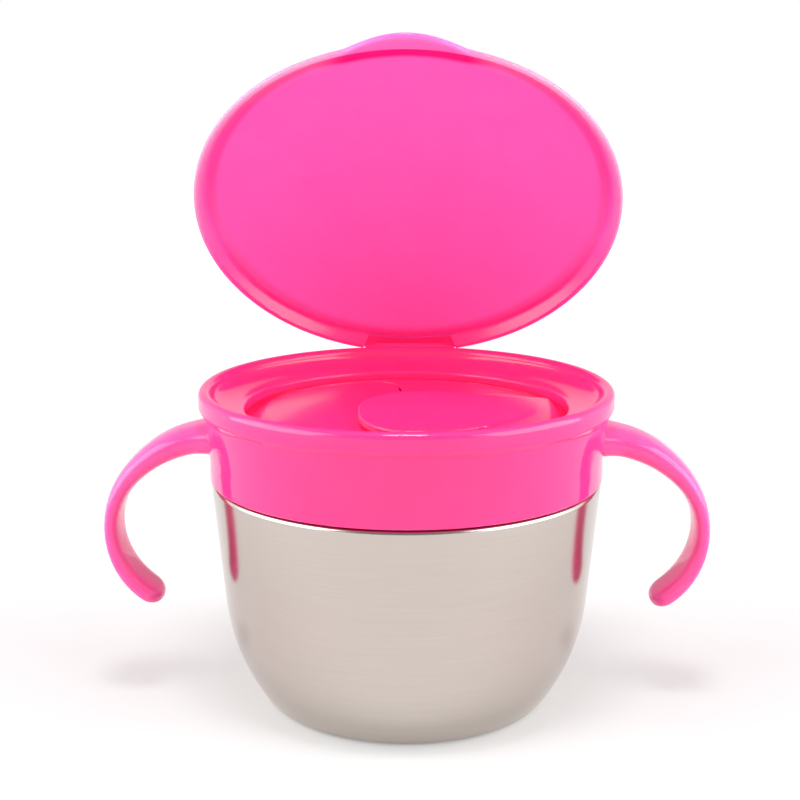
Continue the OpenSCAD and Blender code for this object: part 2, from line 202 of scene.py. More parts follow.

# Where the lid's colour is painted paler at its edge for painted glow and darker for painted shade: lengths are in
# mm from its middle as it lies closed, with its front at -y, and the rest are shares
lidTone = {"paleFrontR": 38.5, "paleSideR": 44.5, "paleFullR": 48.0, "frontY": -46.0, "sideY": -20.0,
           "tabPale": 0.25, "tabPaleX": (9.0, 17.0), "paleFadeY": (-5.0, 25.0), "foldTabR": 42.9,
           "foldSideR": 44.3, "foldRX": (11.0, 20.0), "foldHalf": (0.6, 2.0), "foldX": (12.0, 19.0),
           "sideFold": 0.45, "foldY": (-12.0, 12.0), "rearFold": 0.15, "bandR": (41.0, 44.5),
           "bandY": 34.0, "hingeShadeShare": 0.75}


def lidPaintedLight(tree, look, place, colour):
    # the pattern is turned back to the closed lid, whose middle is the origin
    tone, smooth = lidTone, {"interpolation_type": "SMOOTHSTEP"}
    back = Matrix.Rotation(math.radians(lidOpen), 4, "X")
    about = Vector((0, hingeY, hingeZ)) * mm
    closed = addNode(tree, "ShaderNodeMapping", values={"Rotation": (math.radians(lidOpen), 0, 0),
                                                        "Location": about - back @ about},
                     links={"Vector": place.outputs["Object"]})
    closed = addNode(tree, "ShaderNodeMapping", values={"Scale": (1 / mm, 1 / mm, 1 / mm)},  # now in mm
                     links={"Vector": closed.outputs["Vector"]})
    flat = addNode(tree, "ShaderNodeVectorMath", {"operation": "MULTIPLY"}, {1: (1, 1, 0)},
                   {0: closed.outputs["Vector"]})
    out = addNode(tree, "ShaderNodeVectorMath", {"operation": "LENGTH"}, links={0: flat.outputs["Vector"]})
    parts = addNode(tree, "ShaderNodeSeparateXYZ", links={"Vector": closed.outputs["Vector"]})
    # painted light: the colour is painted paler at the thin free edge, a painted glow for light shining through it,
    # most of all at the front, and less in the tab
    start = addNode(tree, "ShaderNodeMapRange",
                    values={"From Min": tone["frontY"], "From Max": tone["sideY"],
                            "To Min": tone["paleFrontR"], "To Max": tone["paleSideR"]},
                    links={"Value": parts.outputs["Y"]})
    aside = addNode(tree, "ShaderNodeMath", {"operation": "ABSOLUTE"}, links={0: parts.outputs["X"]})
    most = addNode(tree, "ShaderNodeMapRange", smooth,
                   {"From Min": tone["tabPaleX"][0], "From Max": tone["tabPaleX"][1],
                    "To Min": tone["tabPale"], "To Max": 1.0},
                   {"Value": aside.outputs["Value"]})
    front = addNode(tree, "ShaderNodeMapRange", smooth,
                    {"From Min": tone["paleFadeY"][0], "From Max": tone["paleFadeY"][1], "To Max": 0.0},
                    {"Value": parts.outputs["Y"], "To Min": most.outputs["Result"]})
    share = addNode(tree, "ShaderNodeMapRange", smooth, {"From Max": tone["paleFullR"], "To Min": 0.0},
                    {"Value": out.outputs["Value"], "From Min": start.outputs["Result"],
                     "To Max": front.outputs["Result"]})
    pale = addNode(tree, "ShaderNodeMix", {"data_type": "RGBA"},
                   links={0: share.outputs["Result"], 6: colour})
    pale.inputs[7].default_value = linearColour(look["paintedEdgeGlow"])
    # painted shade: the colour is painted darker in the fold between the crown and the edge, and near the hinge,
    # where shade falls
    foldR = addNode(tree, "ShaderNodeMapRange", smooth,
                    {"From Min": tone["foldRX"][0], "From Max": tone["foldRX"][1],
                     "To Min": tone["foldTabR"], "To Max": tone["foldSideR"]},
                    {"Value": aside.outputs["Value"]})
    offFold = addNode(tree, "ShaderNodeMath", {"operation": "SUBTRACT"},
                      links={0: out.outputs["Value"], 1: foldR.outputs["Result"]})
    offFold = addNode(tree, "ShaderNodeMath", {"operation": "ABSOLUTE"}, links={0: offFold.outputs["Value"]})
    nearTab = addNode(tree, "ShaderNodeMapRange", smooth,
                      {"From Min": tone["foldX"][0], "From Max": tone["foldX"][1],
                       "To Min": 1.0, "To Max": tone["sideFold"]},
                      {"Value": aside.outputs["Value"]})
    atFront = addNode(tree, "ShaderNodeMapRange", smooth,
                      {"From Min": tone["foldY"][0], "From Max": tone["foldY"][1],
                       "To Max": tone["rearFold"]},
                      {"Value": parts.outputs["Y"], "To Min": nearTab.outputs["Result"]})
    fold = addNode(tree, "ShaderNodeMapRange", smooth,
                   {"From Min": tone["foldHalf"][0], "From Max": tone["foldHalf"][1], "To Max": 0.0},
                   {"Value": offFold.outputs["Value"], "To Min": atFront.outputs["Result"]})
    towardsHinge = addNode(tree, "ShaderNodeMapRange", smooth,
                           {"From Min": 0.0, "From Max": tone["bandY"], "To Min": 0.0,
                            "To Max": tone["hingeShadeShare"]},
                           {"Value": parts.outputs["Y"]})
    band = addNode(tree, "ShaderNodeMapRange", smooth,
                   {"From Min": tone["bandR"][0], "From Max": tone["bandR"][1], "To Min": 0.0},
                   {"Value": out.outputs["Value"], "To Max": towardsHinge.outputs["Result"]})
    shadeShare = addNode(tree, "ShaderNodeMath", {"operation": "MAXIMUM"},
                      links={0: fold.outputs["Result"], 1: band.outputs["Result"]})
    deep = addNode(tree, "ShaderNodeMix", {"data_type": "RGBA"},
                   links={0: shadeShare.outputs["Value"], 6: pale.outputs[2]})
    deep.inputs[7].default_value = linearColour(look["paintedFoldShade"])
    return deep.outputs[2]


def mouldedPlastic(name, look):
    material, tree, shader, place = newMaterial(name)
    low, high = look["roughSpread"]
    ripple = addNode(tree, "ShaderNodeTexNoise",
                     values={"Scale": 1 / (look["rippleSize"] * mm), "Detail": 1.0},
                     links={"Vector": place.outputs["Object"]})
    mix = addNode(tree, "ShaderNodeMix", {"data_type": "RGBA"}, links={0: ripple.outputs["Fac"]})
    mix.inputs[6].default_value = linearColour(look["shade"])
    mix.inputs[7].default_value = linearColour(look["colour"])
    colour = lidPaintedLight(tree, look, place, mix.outputs[2]) if "paintedEdgeGlow" in look else mix.outputs[2]
    tree.links.new(colour, shader.inputs["Base Color"])
    rough = addNode(tree, "ShaderNodeMapRange", values={"To Min": look["roughness"] * low,
                                                        "To Max": look["roughness"] * high},
                    links={"Value": ripple.outputs["Fac"]})
    tree.links.new(rough.outputs["Result"], shader.inputs["Roughness"])
    shader.inputs["IOR"].default_value = look["ior"]
    shader.inputs["Subsurface Weight"].default_value = look["glow"]
    shader.inputs["Subsurface Radius"].default_value = look["glowTint"]
    shader.inputs["Subsurface Scale"].default_value = look["glowDepth"] * mm
    fineBump(tree, shader, ripple.outputs["Fac"], look["rippleDepth"])
    return material


glossPlastic = mouldedPlastic("polypropyleneGlossMoulded", glossLook)

# The same plastic in the handles, which are thin enough to glow a little; its colour is painted paler than the
# collar's, a painted light for the light the handles catch from all round
hookLook = dict(glossLook, colour="#FF54A2", shade="#FF4F9E", glow=0.4)
hookPlastic = mouldedPlastic("polypropyleneHookMoulded", hookLook)

# Thin polypropylene, injection moulded: light passes into it; its edges are painted paler as painted glow, and its
# fold and the band near the hinge darker as painted shade
lidLook = dict(glossLook, colour="#FF65C1", shade="#FF60BD", roughness=0.2, glow=0.7, glowDepth=3.0,
               paintedEdgeGlow="#FF8CB0", paintedFoldShade="#FF1480")
lidPlastic = mouldedPlastic("polypropyleneThinMoulded", lidLook)

# Thermoplastic elastomer, moulded soft: a smooth satin skin with a more blurred shine
softLook = dict(glossLook, colour="#FF2C76", shade="#FF2872", roughness=0.16, glow=0.2, rippleSize=6.0,
                rippleDepth=0.003)
softPlastic = mouldedPlastic("elastomerSoftMoulded", softLook)

# Stainless steel, deep drawn and satin polished: fine lines run round the cup
steelLook = {"colour": "#CAC0B9", "shade": "#C1B7AF", "roughness": 0.17, "roughSpread": (0.8, 1.2),
             "lineWidth": 0.25, "lineStretch": 60, "lineDepth": 0.004}


def drawnSteel(name, look):
    material, tree, shader, place = newMaterial(name)
    low, high = look["roughSpread"]
    across = 1 / (look["lineWidth"] * mm)  # lines are this fine up the wall and long round it
    along = across / look["lineStretch"]
    turned = addNode(tree, "ShaderNodeMapping", values={"Scale": (along, along, across)},
                     links={"Vector": place.outputs["Object"]})
    lines = addNode(tree, "ShaderNodeTexNoise", values={"Scale": 1.0, "Detail": 3.0},
                    links={"Vector": turned.outputs["Vector"]})
    mix = addNode(tree, "ShaderNodeMix", {"data_type": "RGBA"}, links={0: lines.outputs["Fac"]})
    mix.inputs[6].default_value = linearColour(look["shade"])
    mix.inputs[7].default_value = linearColour(look["colour"])
    tree.links.new(mix.outputs[2], shader.inputs["Base Color"])
    shader.inputs["Metallic"].default_value = 1.0
    rough = addNode(tree, "ShaderNodeMapRange", values={"To Min": look["roughness"] * low,
                                                        "To Max": look["roughness"] * high},
                    links={"Value": lines.outputs["Fac"]})
    tree.links.new(rough.outputs["Result"], shader.inputs["Roughness"])
    fineBump(tree, shader, lines.outputs["Fac"], look["lineDepth"])
    return material


steelFinish = drawnSteel("stainlessSatinDrawn", steelLook)
print("materials ready")

# Steel cup: its sizes, like those of every piece here, are in mm and degrees
cup = {"radius": 42.75, "wallSlope": 5.5, "bowlR": 45.0, "cornerR": 3.1, "baseR": 29.35, "sheet": 0.6,
       "shoulderR": 0.8, "filletR": 0.6, "neckR": 39.85, "seatWidth": 2.4, "gap": 0.3}


def cupFace(depth):  # outer face of the sheet, or the face at a depth below it
    slope = math.radians(cup["wallSlope"])
    inward = Vector((-math.cos(slope), math.sin(slope)))
    down = Vector((-math.sin(slope), -math.cos(slope)))
    wallTop = Vector((cup["radius"], steelTop))
    corner = Vector((cup["baseR"], cup["cornerR"]))
    away = wallTop + cup["bowlR"] * inward - corner
    along = -away.dot(down) - math.sqrt(away.dot(down) ** 2 - away.length_squared
                                        + (cup["bowlR"] - cup["cornerR"]) ** 2)
    bowl = wallTop + cup["bowlR"] * inward + along * down
    turn = math.degrees(math.atan2(corner.y - bowl.y, corner.x - bowl.x))
    shoulderZ = steelTop - cup["gap"]
    drop = (steelTop - shoulderZ + cup["shoulderR"] * (1 + math.sin(slope))) / math.cos(slope)
    shoulder = wallTop + drop * down + cup["shoulderR"] * inward
    fillet = (cup["neckR"] + cup["filletR"], shoulderZ + cup["filletR"])
    lip = (cup["neckR"] - cup["shoulderR"], neckTop - cup["shoulderR"])
    return ([(0, depth)]
            + arcPoints(corner, cup["cornerR"] - depth, -90, turn, 12)
            + arcPoints(bowl, cup["bowlR"] - depth, turn, -cup["wallSlope"], 36)
            + arcPoints(shoulder, cup["shoulderR"] - depth, -cup["wallSlope"], 90, 8)
            + arcPoints(fillet, cup["filletR"] + depth, 270, 180, 6)
            + arcPoints(lip, cup["shoulderR"] - depth, 0, 90, 8)
            + [(cup["neckR"] - cup["seatWidth"], neckTop - depth)])


steelCup = spinPiece("steelCup", cupFace(0) + cupFace(cup["sheet"])[::-1], steelFinish, closed=False)
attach(steelCup, "cup")
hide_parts("steel_cup")
print("steel cup made")

# Collar
collar = {"radius": 42.95, "wall": 2.8, "crestR": 1.4, "rollR": 1.8, "rollTurn": 60, "rimHeight": 4.8,
          "mouthR": 35.15, "funnelDrop": 4.4, "mouthThick": 1.8, "edgeR": 0.5, "flareFrom": 4.5,
          "flarePower": 1.25}
mouthZ = rimTop - collar["funnelDrop"]
seatZ = mouthZ - collar["mouthThick"]
crest = (rimR - collar["crestR"], rimTop - collar["crestR"])
rollZ = rimTop - collar["rimHeight"] + collar["rollR"] * math.sin(math.radians(collar["rollTurn"]))
roll = (rimR - collar["rollR"], rollZ)


def collarSection():
    bore = collar["radius"] - collar["wall"]
    underZ = rimTop - collar["rimHeight"]
    startZ = steelTop + collar["flareFrom"]
    flareEnd = roll[0] + collar["rollR"] * math.cos(math.radians(collar["rollTurn"]))
    flare = [(collar["radius"] + (flareEnd - collar["radius"]) * (i / 16) ** collar["flarePower"],
              startZ + (underZ - startZ) * i / 16) for i in range(17)]
    wide, deep = crest[0] - collar["crestR"] - collar["mouthR"], crest[1] - mouthZ
    funnel = [(collar["mouthR"] + wide * math.cos(math.radians(a)),
               crest[1] - deep * math.sin(math.radians(a))) for a in range(5, 86, 5)]
    edge = collar["edgeR"]
    return ([(bore, steelTop + edge), (bore + edge, steelTop)]
            + arcPoints((collar["radius"] - edge, steelTop + edge), edge, -90, 0, 6)
            + flare
            + arcPoints(roll, collar["rollR"], -collar["rollTurn"], 0, 10)
            + arcPoints(crest, collar["crestR"], 0, 180, 24)
            + funnel
            + arcPoints((collar["mouthR"] + edge, mouthZ - edge), edge, 90, 180, 6)
            + [(collar["mouthR"], seatZ), (bore, seatZ)])


collarRing = spinPiece("collarRing", collarSection(), glossPlastic, segments=320)
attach(collarRing, "collar_part")
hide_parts("collar")
print("collar made")

# Hook handles: angles run from the root over 90 at the top and 0 at the outermost point to the tip
hook = {"radius": 18.2, "outFromWall": 3.9, "height": 38.0, "rootAngle": 106, "tipAngle": 65,
        "thinAngle": 8, "thin": 3.8, "rootThick": 6.9, "tipThick": 4.6, "width": 11.5, "rootWidth": 14.5,
        "lift": 3.3, "liftFrom": 40, "tipCap": 14, "tipWidth": 0.55, "squareness": 2.7,
        "innerFlat": 0.88, "flare": 0.16, "flareFrom": 84, "wideFrom": -20, "wideRun": 90,
        "thickPower": 0.8, "capPower": 0.8}


def hookSection(angle, capTurn):
    # capTurn is 0 on the hook and runs to 90 degrees over its rounded tip
    low = hook["thinAngle"]
    if angle > low:
        share = ease((angle - low) / (hook["rootAngle"] - low)) ** hook["thickPower"]
        thick = hook["thin"] + (hook["rootThick"] - hook["thin"]) * share
    else:
        share = ease((low - angle) / (low + hook["tipAngle"] - hook["tipCap"]))
        thick = hook["thin"] + (hook["tipThick"] - hook["thin"]) * share
    shrink = math.cos(math.radians(capTurn)) ** hook["capPower"]
    rise = max(0, angle - hook["liftFrom"]) / (hook["rootAngle"] - hook["liftFrom"])
    widen = ease((angle - hook["wideFrom"]) / hook["wideRun"])
    wide = hook["width"] + (hook["rootWidth"] - hook["width"]) * widen
    spread = ease((angle - hook["flareFrom"]) / (hook["rootAngle"] - hook["flareFrom"]))
    flare = 1 + hook["flare"] * spread ** 2
    return (hook["radius"] + hook["lift"] * rise ** 2, thick / 2 * shrink * flare,
            wide / 2 * (hook["tipWidth"] + (1 - hook["tipWidth"]) * shrink) * shrink * flare)


def hookPoints(side, around):
    centreX = collar["radius"] + hook["outFromWall"]
    steps = [(a, 0) for a in range(hook["rootAngle"], hook["tipCap"] - hook["tipAngle"] - 1, -3)]
    capStart = hook["tipCap"] - hook["tipAngle"]
    steps += [(capStart - hook["tipCap"] * math.sin(math.radians(q)) ** hook["capPower"], q)
              for q in range(10, 90, 8)]
    steps += [(capStart - hook["tipCap"], 89.5)]
    points = []
    for angle, capTurn in steps:
        radius, halfThick, halfWide = hookSection(angle, capTurn)
        turn = math.radians(angle)
        for j in range(around):
            c, s = math.cos(2 * math.pi * j / around), math.sin(2 * math.pi * j / around)
            power = 2 / hook["squareness"]
            inner = hook["innerFlat"] if s < 0 else 1
            far = radius + inner * halfThick * math.copysign(abs(s) ** power, s)
            points.append((side * (centreX + far * math.cos(turn)),
                           halfWide * math.copysign(abs(c) ** power, c),
                           hook["height"] + far * math.sin(turn)))
    return points, len(steps)


def makeHook(name, side, node):
    around = 48
    points, rings = hookPoints(side, around)
    piece = makePiece(name, points, tubeFaces(rings, around), hookPlastic)
    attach(piece, "collar_part")
    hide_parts(node)


makeHook("leftHook", -1, "left_handle")
makeHook("rightHook", 1, "right_handle")
print("handles made")

# Soft insert
insert = {"flangeR": 39.85, "gripR": 37.15, "discR": 30.6, "rise": 0.8, "groove": 0.8, "crown": 0.5,
          "web": 1.2, "slit": 0.35, "edgeR": 0.3, "grooveIn": 0.7, "stepOut": 0.6, "ringIn": 0.1,
          "rootOut": 0.5}
discZ = seatZ + insert["rise"]
grooveZ = seatZ - insert["groove"]
grooveR = collar["mouthR"] - insert["grooveIn"]
flapR = insert["discR"] - insert["slit"] - insert["ringIn"]


def discTop(r, up=0.0):
    if r <= insert["discR"]:
        return discZ + up + insert["crown"] * (1 - (r / insert["discR"]) ** 2)
    return grooveZ + (discZ + up - grooveZ) * (1 - ease((r - insert["discR"]) / (grooveR - insert["discR"])))


def ringSection():
    start = insert["discR"] - insert["ringIn"]
    fall = [start + (grooveR - start) * i / 12 for i in range(13)]
    step = collar["mouthR"] + insert["stepOut"]
    edge = insert["edgeR"]
    return ([(insert["flangeR"], neckTop), (insert["flangeR"], seatZ), (step, seatZ), (step, grooveZ)]
            + [(r, discTop(r)) for r in fall[:0:-1]]
            + arcPoints((start + edge, discTop(start) - edge), edge, 90, 180, 4)
            + arcPoints((start + edge, discTop(start) - insert["web"] + edge), edge, 180, 270, 4)
            + [(r, discTop(r) - insert["web"]) for r in fall[1:]]
            + [(step, grooveZ - insert["web"]), (insert["gripR"], neckTop)])


insertRing = spinPiece("insertRing", ringSection(), softPlastic)
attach(insertRing, "collar_part")
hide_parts("flap_insert")


def rayReach(origin, angle, outline):
    # distance from origin to the nearest crossing of the outline along the ray
    dx, dy = math.cos(angle), math.sin(angle)
    best = 1e9
    for (ax, ay), (bx, by) in zip(outline, outline[1:] + outline[:1]):
        ex, ey = bx - ax, by - ay
        cross = dx * ey - dy * ex
        if abs(cross) < 1e-12:
            continue
        along = ((ax - origin[0]) * ey - (ay - origin[1]) * ex) / cross
        share = ((ax - origin[0]) * dy - (ay - origin[1]) * dx) / cross
        if along > 1e-6 and -1e-9 <= share <= 1 + 1e-9:
            best = min(best, along)
    return best


def softPlate(name, origin, reachAt, topAt, thick, material, around=240, roundR=0.55):
    # a plate filled outwards from its origin, with a rounded edge all round
    inner = [0.0, 0.12, 0.25, 0.38, 0.5, 0.61, 0.71, 0.8, 0.87, 0.93]
    turns = [0, 15, 30, 45, 60, 75, 90]
    points, rows = [], []
    reaches = [reachAt(2 * math.pi * k / around) for k in range(around)]
    for layer in ("top", "bottom"):
        shares = [(s, None) for s in inner] + [(1, t) for t in turns]
        for share, turn in (shares if layer == "top" else shares[::-1]):
            row = []
            for k, reach in enumerate(reaches):
                a = 2 * math.pi * k / around
                core = reach - roundR
                far = core * share if turn is None else core + roundR * math.sin(math.radians(turn))
                x, y = origin[0] + far * math.cos(a), origin[1] + far * math.sin(a)
                sink = 0 if turn is None else roundR * (1 - math.cos(math.radians(turn)))
                z = topAt(x, y) - sink if layer == "top" else topAt(x, y) - thick + sink
                row.append(len(points))
                points.append((x, y, z))
            rows.append(row)
    faces = [(a[k], a[(k + 1) % around], b[(k + 1) % around], b[k])
             for a, b in zip(rows, rows[1:]) for k in range(around)]
    return makePiece(name, points, faces, material)


# Upper flap: a round nose at the left and front, its root at the right
tongue = {"noseX": 6.0, "noseY": -11.0, "reach": 16.0, "rear": 17.0, "front": 20.0, "power": 2.4,
          "rearSlope": 0.2, "gap": 0.5, "thick": 1.8, "originX": 8.0, "originY": -9.0,
          "bendHalf": 3.0, "rootRun": 5.0, "rootIn": 0.3}
beyond = 40.0  # mm, outside the whole insert


def tongueOutline(grow=0.0):
    nose = []
    for i in range(61):
        a = math.radians(90 + 3 * i)
        c, s = math.cos(a), math.sin(a)
        half = (tongue["rear"] if s > 0 else tongue["front"]) + grow
        nose.append((tongue["noseX"] - (tongue["reach"] + grow) * abs(c) ** (2 / tongue["power"]),
                     tongue["noseY"] + math.copysign(half * abs(s) ** (2 / tongue["power"]), s)))
    rearY = tongue["noseY"] + tongue["rear"] + grow
    sideY = rearY - tongue["rearSlope"] * (beyond - tongue["noseX"])
    return [(beyond, sideY)] + nose + [(beyond, -beyond)]


def circleReach(origin, angle, radius):
    dx, dy = math.cos(angle), math.sin(angle)
    b = origin[0] * dx + origin[1] * dy
    return -b + math.sqrt(b * b - origin[0] ** 2 - origin[1] ** 2 + radius ** 2)


noseLine = tongueOutline()
highUp = tongue["gap"] + tongue["thick"]
tongueOrigin = (tongue["originX"], tongue["originY"])


def tongueReach(angle):
    free = circleReach(tongueOrigin, angle, flapR)
    x = tongueOrigin[0] + free * math.cos(angle)
    root = ease((x - highLineX - tongue["bendHalf"]) / tongue["rootRun"])
    ring = flapR + (grooveR - tongue["rootIn"] - flapR) * root
    return min(rayReach(tongueOrigin, angle, noseLine), circleReach(tongueOrigin, angle, ring))


upperFlap = softPlate("upperFlap", tongueOrigin, tongueReach,
                      lambda x, y: discTop(math.hypot(x, y), highUp), tongue["thick"], softPlastic)
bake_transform(upperFlap)
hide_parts("upper_flap")

# Lower flap: a round lobe at the rear left, its front edge tucked under the upper flap
lobe = {"x": -12.5, "y": 19.0, "radius": 10.5, "tuckX": 3.0, "tuckLength": 15.0, "originX": -12.0,
        "originY": 3.0, "bendOut": 1.0, "bendIn": 4.0, "rootRun": 2.0}


def lobeOutline(grow=0.0):
    start = lobe["x"] + lobe["radius"]
    tuck = [(start + (lobe["tuckX"] - start) * ease(i / 12) + grow, lobe["y"] - lobe["tuckLength"] * i / 12)
            for i in range(13)]
    return ([(-beyond, beyond), (lobe["x"], beyond), (lobe["x"], lobe["y"] + lobe["radius"] + grow)]
            + arcPoints((lobe["x"], lobe["y"]), lobe["radius"] + grow, 90, 3, 24)
            + tuck + [(lobe["tuckX"] + grow, tongue["noseY"]), (grow, -beyond), (-beyond, -beyond)])


lobeLine = lobeOutline()
lobeOrigin = (lobe["originX"], lobe["originY"])


def lobeReach(angle):
    free = circleReach(lobeOrigin, angle, flapR)
    x = lobeOrigin[0] + free * math.cos(angle)
    root = ease((lowLineX + lobe["bendOut"] - x) / lobe["rootRun"])
    ring = flapR + (insert["discR"] + insert["rootOut"] - flapR) * root
    return min(rayReach(lobeOrigin, angle, lobeLine), circleReach(lobeOrigin, angle, ring))


lowerFlap = softPlate("lowerFlap", lobeOrigin, lobeReach, lambda x, y: discTop(math.hypot(x, y)),
                      insert["web"], softPlastic)
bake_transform(lowerFlap)
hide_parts("lower_flap")

# Fixed web behind both flaps
webOrigin = (13.0, 16.0)
webLines = [lobeOutline(insert["slit"]), tongueOutline(insert["slit"])]


def webReach(angle):
    edge = circleReach(webOrigin, angle, insert["discR"] + insert["rootOut"])
    return min([edge] + [rayReach(webOrigin, angle, line) for line in webLines])


fixedWeb = softPlate("fixedWeb", webOrigin, webReach, lambda x, y: discTop(math.hypot(x, y)),
                     insert["web"], softPlastic)
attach(fixedWeb, "collar_part")
print("soft insert made")

# Lid, drawn closed and then turned to where it stands
lid = {"radius": 47.7, "thick": 1.5, "skirt": 3.0, "bandSlope": 42, "creaseR": 43.45, "dome": 4.0,
       "gap": 0.3, "notchHalf": 10.8, "frontIn": 0.9, "frontFrom": 45.2, "tabReach": 3.0, "tabHalf": 13.0,
       "tabDrop": 0.5, "tabFrom": 46.4, "tabRun": 0.7, "tabTop": 0.4, "tabFade": 1.2, "frontRun": 2.2,
       "kneeDrop": 0.6, "kneeRise": 0.42, "notchOut": 1.3, "notchDrop": 0.6}
landZ = rimTop + lid["gap"]
edgeZ = landZ - lid["skirt"]
domeR = (lid["creaseR"] ** 2 + lid["dome"] ** 2) / (2 * lid["dome"])


def domeFace(z, count=40):
    turn = math.asin(lid["creaseR"] / domeR)
    return [(domeR * math.sin(turn * i / count), z + lid["dome"] - domeR * (1 - math.cos(turn * i / count)))
            for i in range(count, -1, -1)]


def lidSection():
    slope = math.radians(lid["bandSlope"])
    out = Vector((math.sin(slope), math.cos(slope)))
    edge = Vector((lid["radius"] - lid["thick"] / 2, edgeZ + lid["thick"] / 2))
    edgeIn, edgeOut = edge - out * lid["thick"] / 2, edge + out * lid["thick"] / 2
    landR = collar["crestR"] + lid["gap"]
    lean = edgeIn - Vector(crest)
    landTurn = math.degrees(math.atan2(lean.y, lean.x) + math.acos(landR / lean.length))
    landing = arcPoints(crest, landR, 90, landTurn, 8)
    inside = [Vector(landing[-1]).lerp(edgeIn, i / 6) for i in range(1, 6)]
    kneeZ = landZ + lid["thick"] - lid["kneeDrop"]
    kneeR = edgeOut.x - (kneeZ - edgeOut.y) / math.tan(slope)
    outside = [edgeOut.lerp(Vector((kneeR, kneeZ)), i / 6) for i in range(1, 7)]
    crown = (kneeR + lid["creaseR"]) / 2
    return (domeFace(landZ)[::-1] + landing + [tuple(p) for p in inside]
            + arcPoints(edge, lid["thick"] / 2, -90 - lid["bandSlope"], 90 - lid["bandSlope"], 14)
            + [tuple(p) for p in outside] + [(crown, kneeZ + lid["kneeRise"])]
            + domeFace(landZ + lid["thick"]))


def openedMatrix():
    about = Vector((0, hingeY, hingeZ)) * mm
    return (Matrix.Translation(about) @ Matrix.Rotation(math.radians(-lidOpen), 4, "X")
            @ Matrix.Translation(-about))


lidShell = spinPiece("lidShell", lidSection(), lidPlastic, segments=360, closed=False)
notchR = crest[0] + lid["notchOut"]
for vertex in lidShell.data.vertices:
    x, y, z = vertex.co / mm
    r = max(math.hypot(x, y), 0.001)
    if y > 0 and r > notchR and abs(x) < lid["notchHalf"]:  # the notch that makes room for the strap
        vertex.co = Vector((x * notchR / r, y * notchR / r, max(z, landZ - lid["notchDrop"]))) * mm
    if y < 0:  # the front is drawn in a little towards the tab
        vertex.co.y += lid["frontIn"] * (y / r) ** 4 * ease((r - lid["frontFrom"]) / lid["frontRun"]) * mm
    flat = 1 - (x / lid["tabHalf"]) ** 2
    if y < 0 and flat > 0:  # the free edge runs out into the thumb tab
        outwards = ease((r - lid["tabFrom"]) / lid["tabRun"])
        swell = flat ** 1.3 * outwards * ease((landZ + lid["tabTop"] - z) / lid["tabFade"])
        vertex.co.y -= lid["tabReach"] * swell * mm
        vertex.co.z -= lid["tabDrop"] * swell * mm
finishMesh(lidShell)
lidShell.data.transform(openedMatrix())
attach(lidShell, "lid_part")
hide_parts("lid", "thumb_tab")
print("lid made")

# Living hinge: one strap from the collar over the bending line to the lid
strap = {"width": 20.6, "wing": 11.9, "seamWing": 10.75, "leaf": 1.4, "foot": 5.0, "ledgeDrop": 0.75}
wingGrow, seamGrow = strap["wing"] / strap["width"] * 2, strap["seamWing"] / strap["width"] * 2
# From the bending line to the lid, points 3 to 9 of its section, the strap fills the notch
grow = {3: wingGrow, 4: wingGrow, 5: seamGrow, 6: seamGrow, 7: wingGrow, 8: wingGrow, 9: wingGrow}


def strapPoints(x):
    # section at x in the YZ plane, from the collar up to the lid as it stands open, each point set
    # off in mm from the hinge line, the collar's wall or the lid's notch
    turn = math.radians(lidOpen)
    seam = math.sqrt(notchR ** 2 - (x * seamGrow) ** 2) - 0.4
    edge = math.sqrt(lid["radius"] ** 2 - (x * wingGrow) ** 2)  # stays under the round edge of the lid

    def opened(y, z):
        y, z = y - hingeY, z - hingeZ
        return (hingeY + y * math.cos(turn) + z * math.sin(turn),
                hingeZ - y * math.sin(turn) + z * math.cos(turn))

    ledge = hingeZ - strap["ledgeDrop"]
    inner = [(collar["radius"] + 1.2, ledge - strap["foot"] + 1.2), (rimR - 1.2, ledge),
             (hingeY - 0.5, ledge), (hingeY - 0.25, hingeZ)]
    innerLid = [opened(min(hingeY - 0.45, edge), hingeZ + 0.35), opened(seam, hingeZ + 0.12)]
    outerLid = [opened(seam, hingeZ + 1.45), opened(min(hingeY - 0.3, edge), hingeZ + 1.45),
                opened(hingeY + 0.02, hingeZ + 0.9)]
    outer = [(hingeY + 0.28, hingeZ + 0.1), (hingeY + 0.45, ledge),
             (hingeY + 0.45, ledge - strap["leaf"] + 0.3), (collar["radius"] + 0.9, ledge - strap["foot"])]
    return inner + innerLid + outerLid + outer


def makeStrap():
    count = len(strapPoints(0))
    half = strap["width"] / 2
    rows = [half * i / 12 for i in range(-12, 13)]
    points = []
    for x in rows:
        points += [(x * grow.get(j, 1), y, z) for j, (y, z) in enumerate(strapPoints(x))]
    return makePiece("hingeStrap", points, tubeFaces(len(rows), count), lidPlastic)


hingeStrap = makeStrap()
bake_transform(hingeStrap)
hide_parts("lid_hinge_leaf", "collar_hinge_leaf")
print("hinge made")

# Floor, light and camera: lengths in metres from the object
studio = {"floorHalf": 6, "floorColour": "#C4C4C4", "floorRoughness": 0.9, "nearGlow": 0.21,
          "farGlow": 0.75, "glowFrom": (0.15, 0.9), "around": 1.45, "aimHeight": 0.06}
# Where the room is dimmer: the direction, the cosines at which it begins and is full, its share
dimmer = [((0, -0.94, 0.34), 0.45, 0.95, 0.32),  # in front
          ((0, 0.99, 0.14), 0.5, 0.95, 0.5),     # behind
          ((0, 0, 1), 0.2, 0.7, 0.45)]           # above
softboxes = [("leftBox", (-0.8, -0.2, 0.35), 1.0, 10.5),  # name, place, size and power
             ("rightBox", (0.8, -0.2, 0.35), 1.0, 10.5),
             ("topBox", (0, -0.15, 0.9), 0.2, 2.4)]
floorMesh = bpy.data.meshes.new("floor")
floorMesh.from_pydata([(x * studio["floorHalf"], y * studio["floorHalf"], 0)
                       for x, y in ((-1, -1), (1, -1), (1, 1), (-1, 1))], [], [(0, 1, 2, 3)])
floor = bpy.data.objects.new("floor", floorMesh)
bpy.context.collection.objects.link(floor)
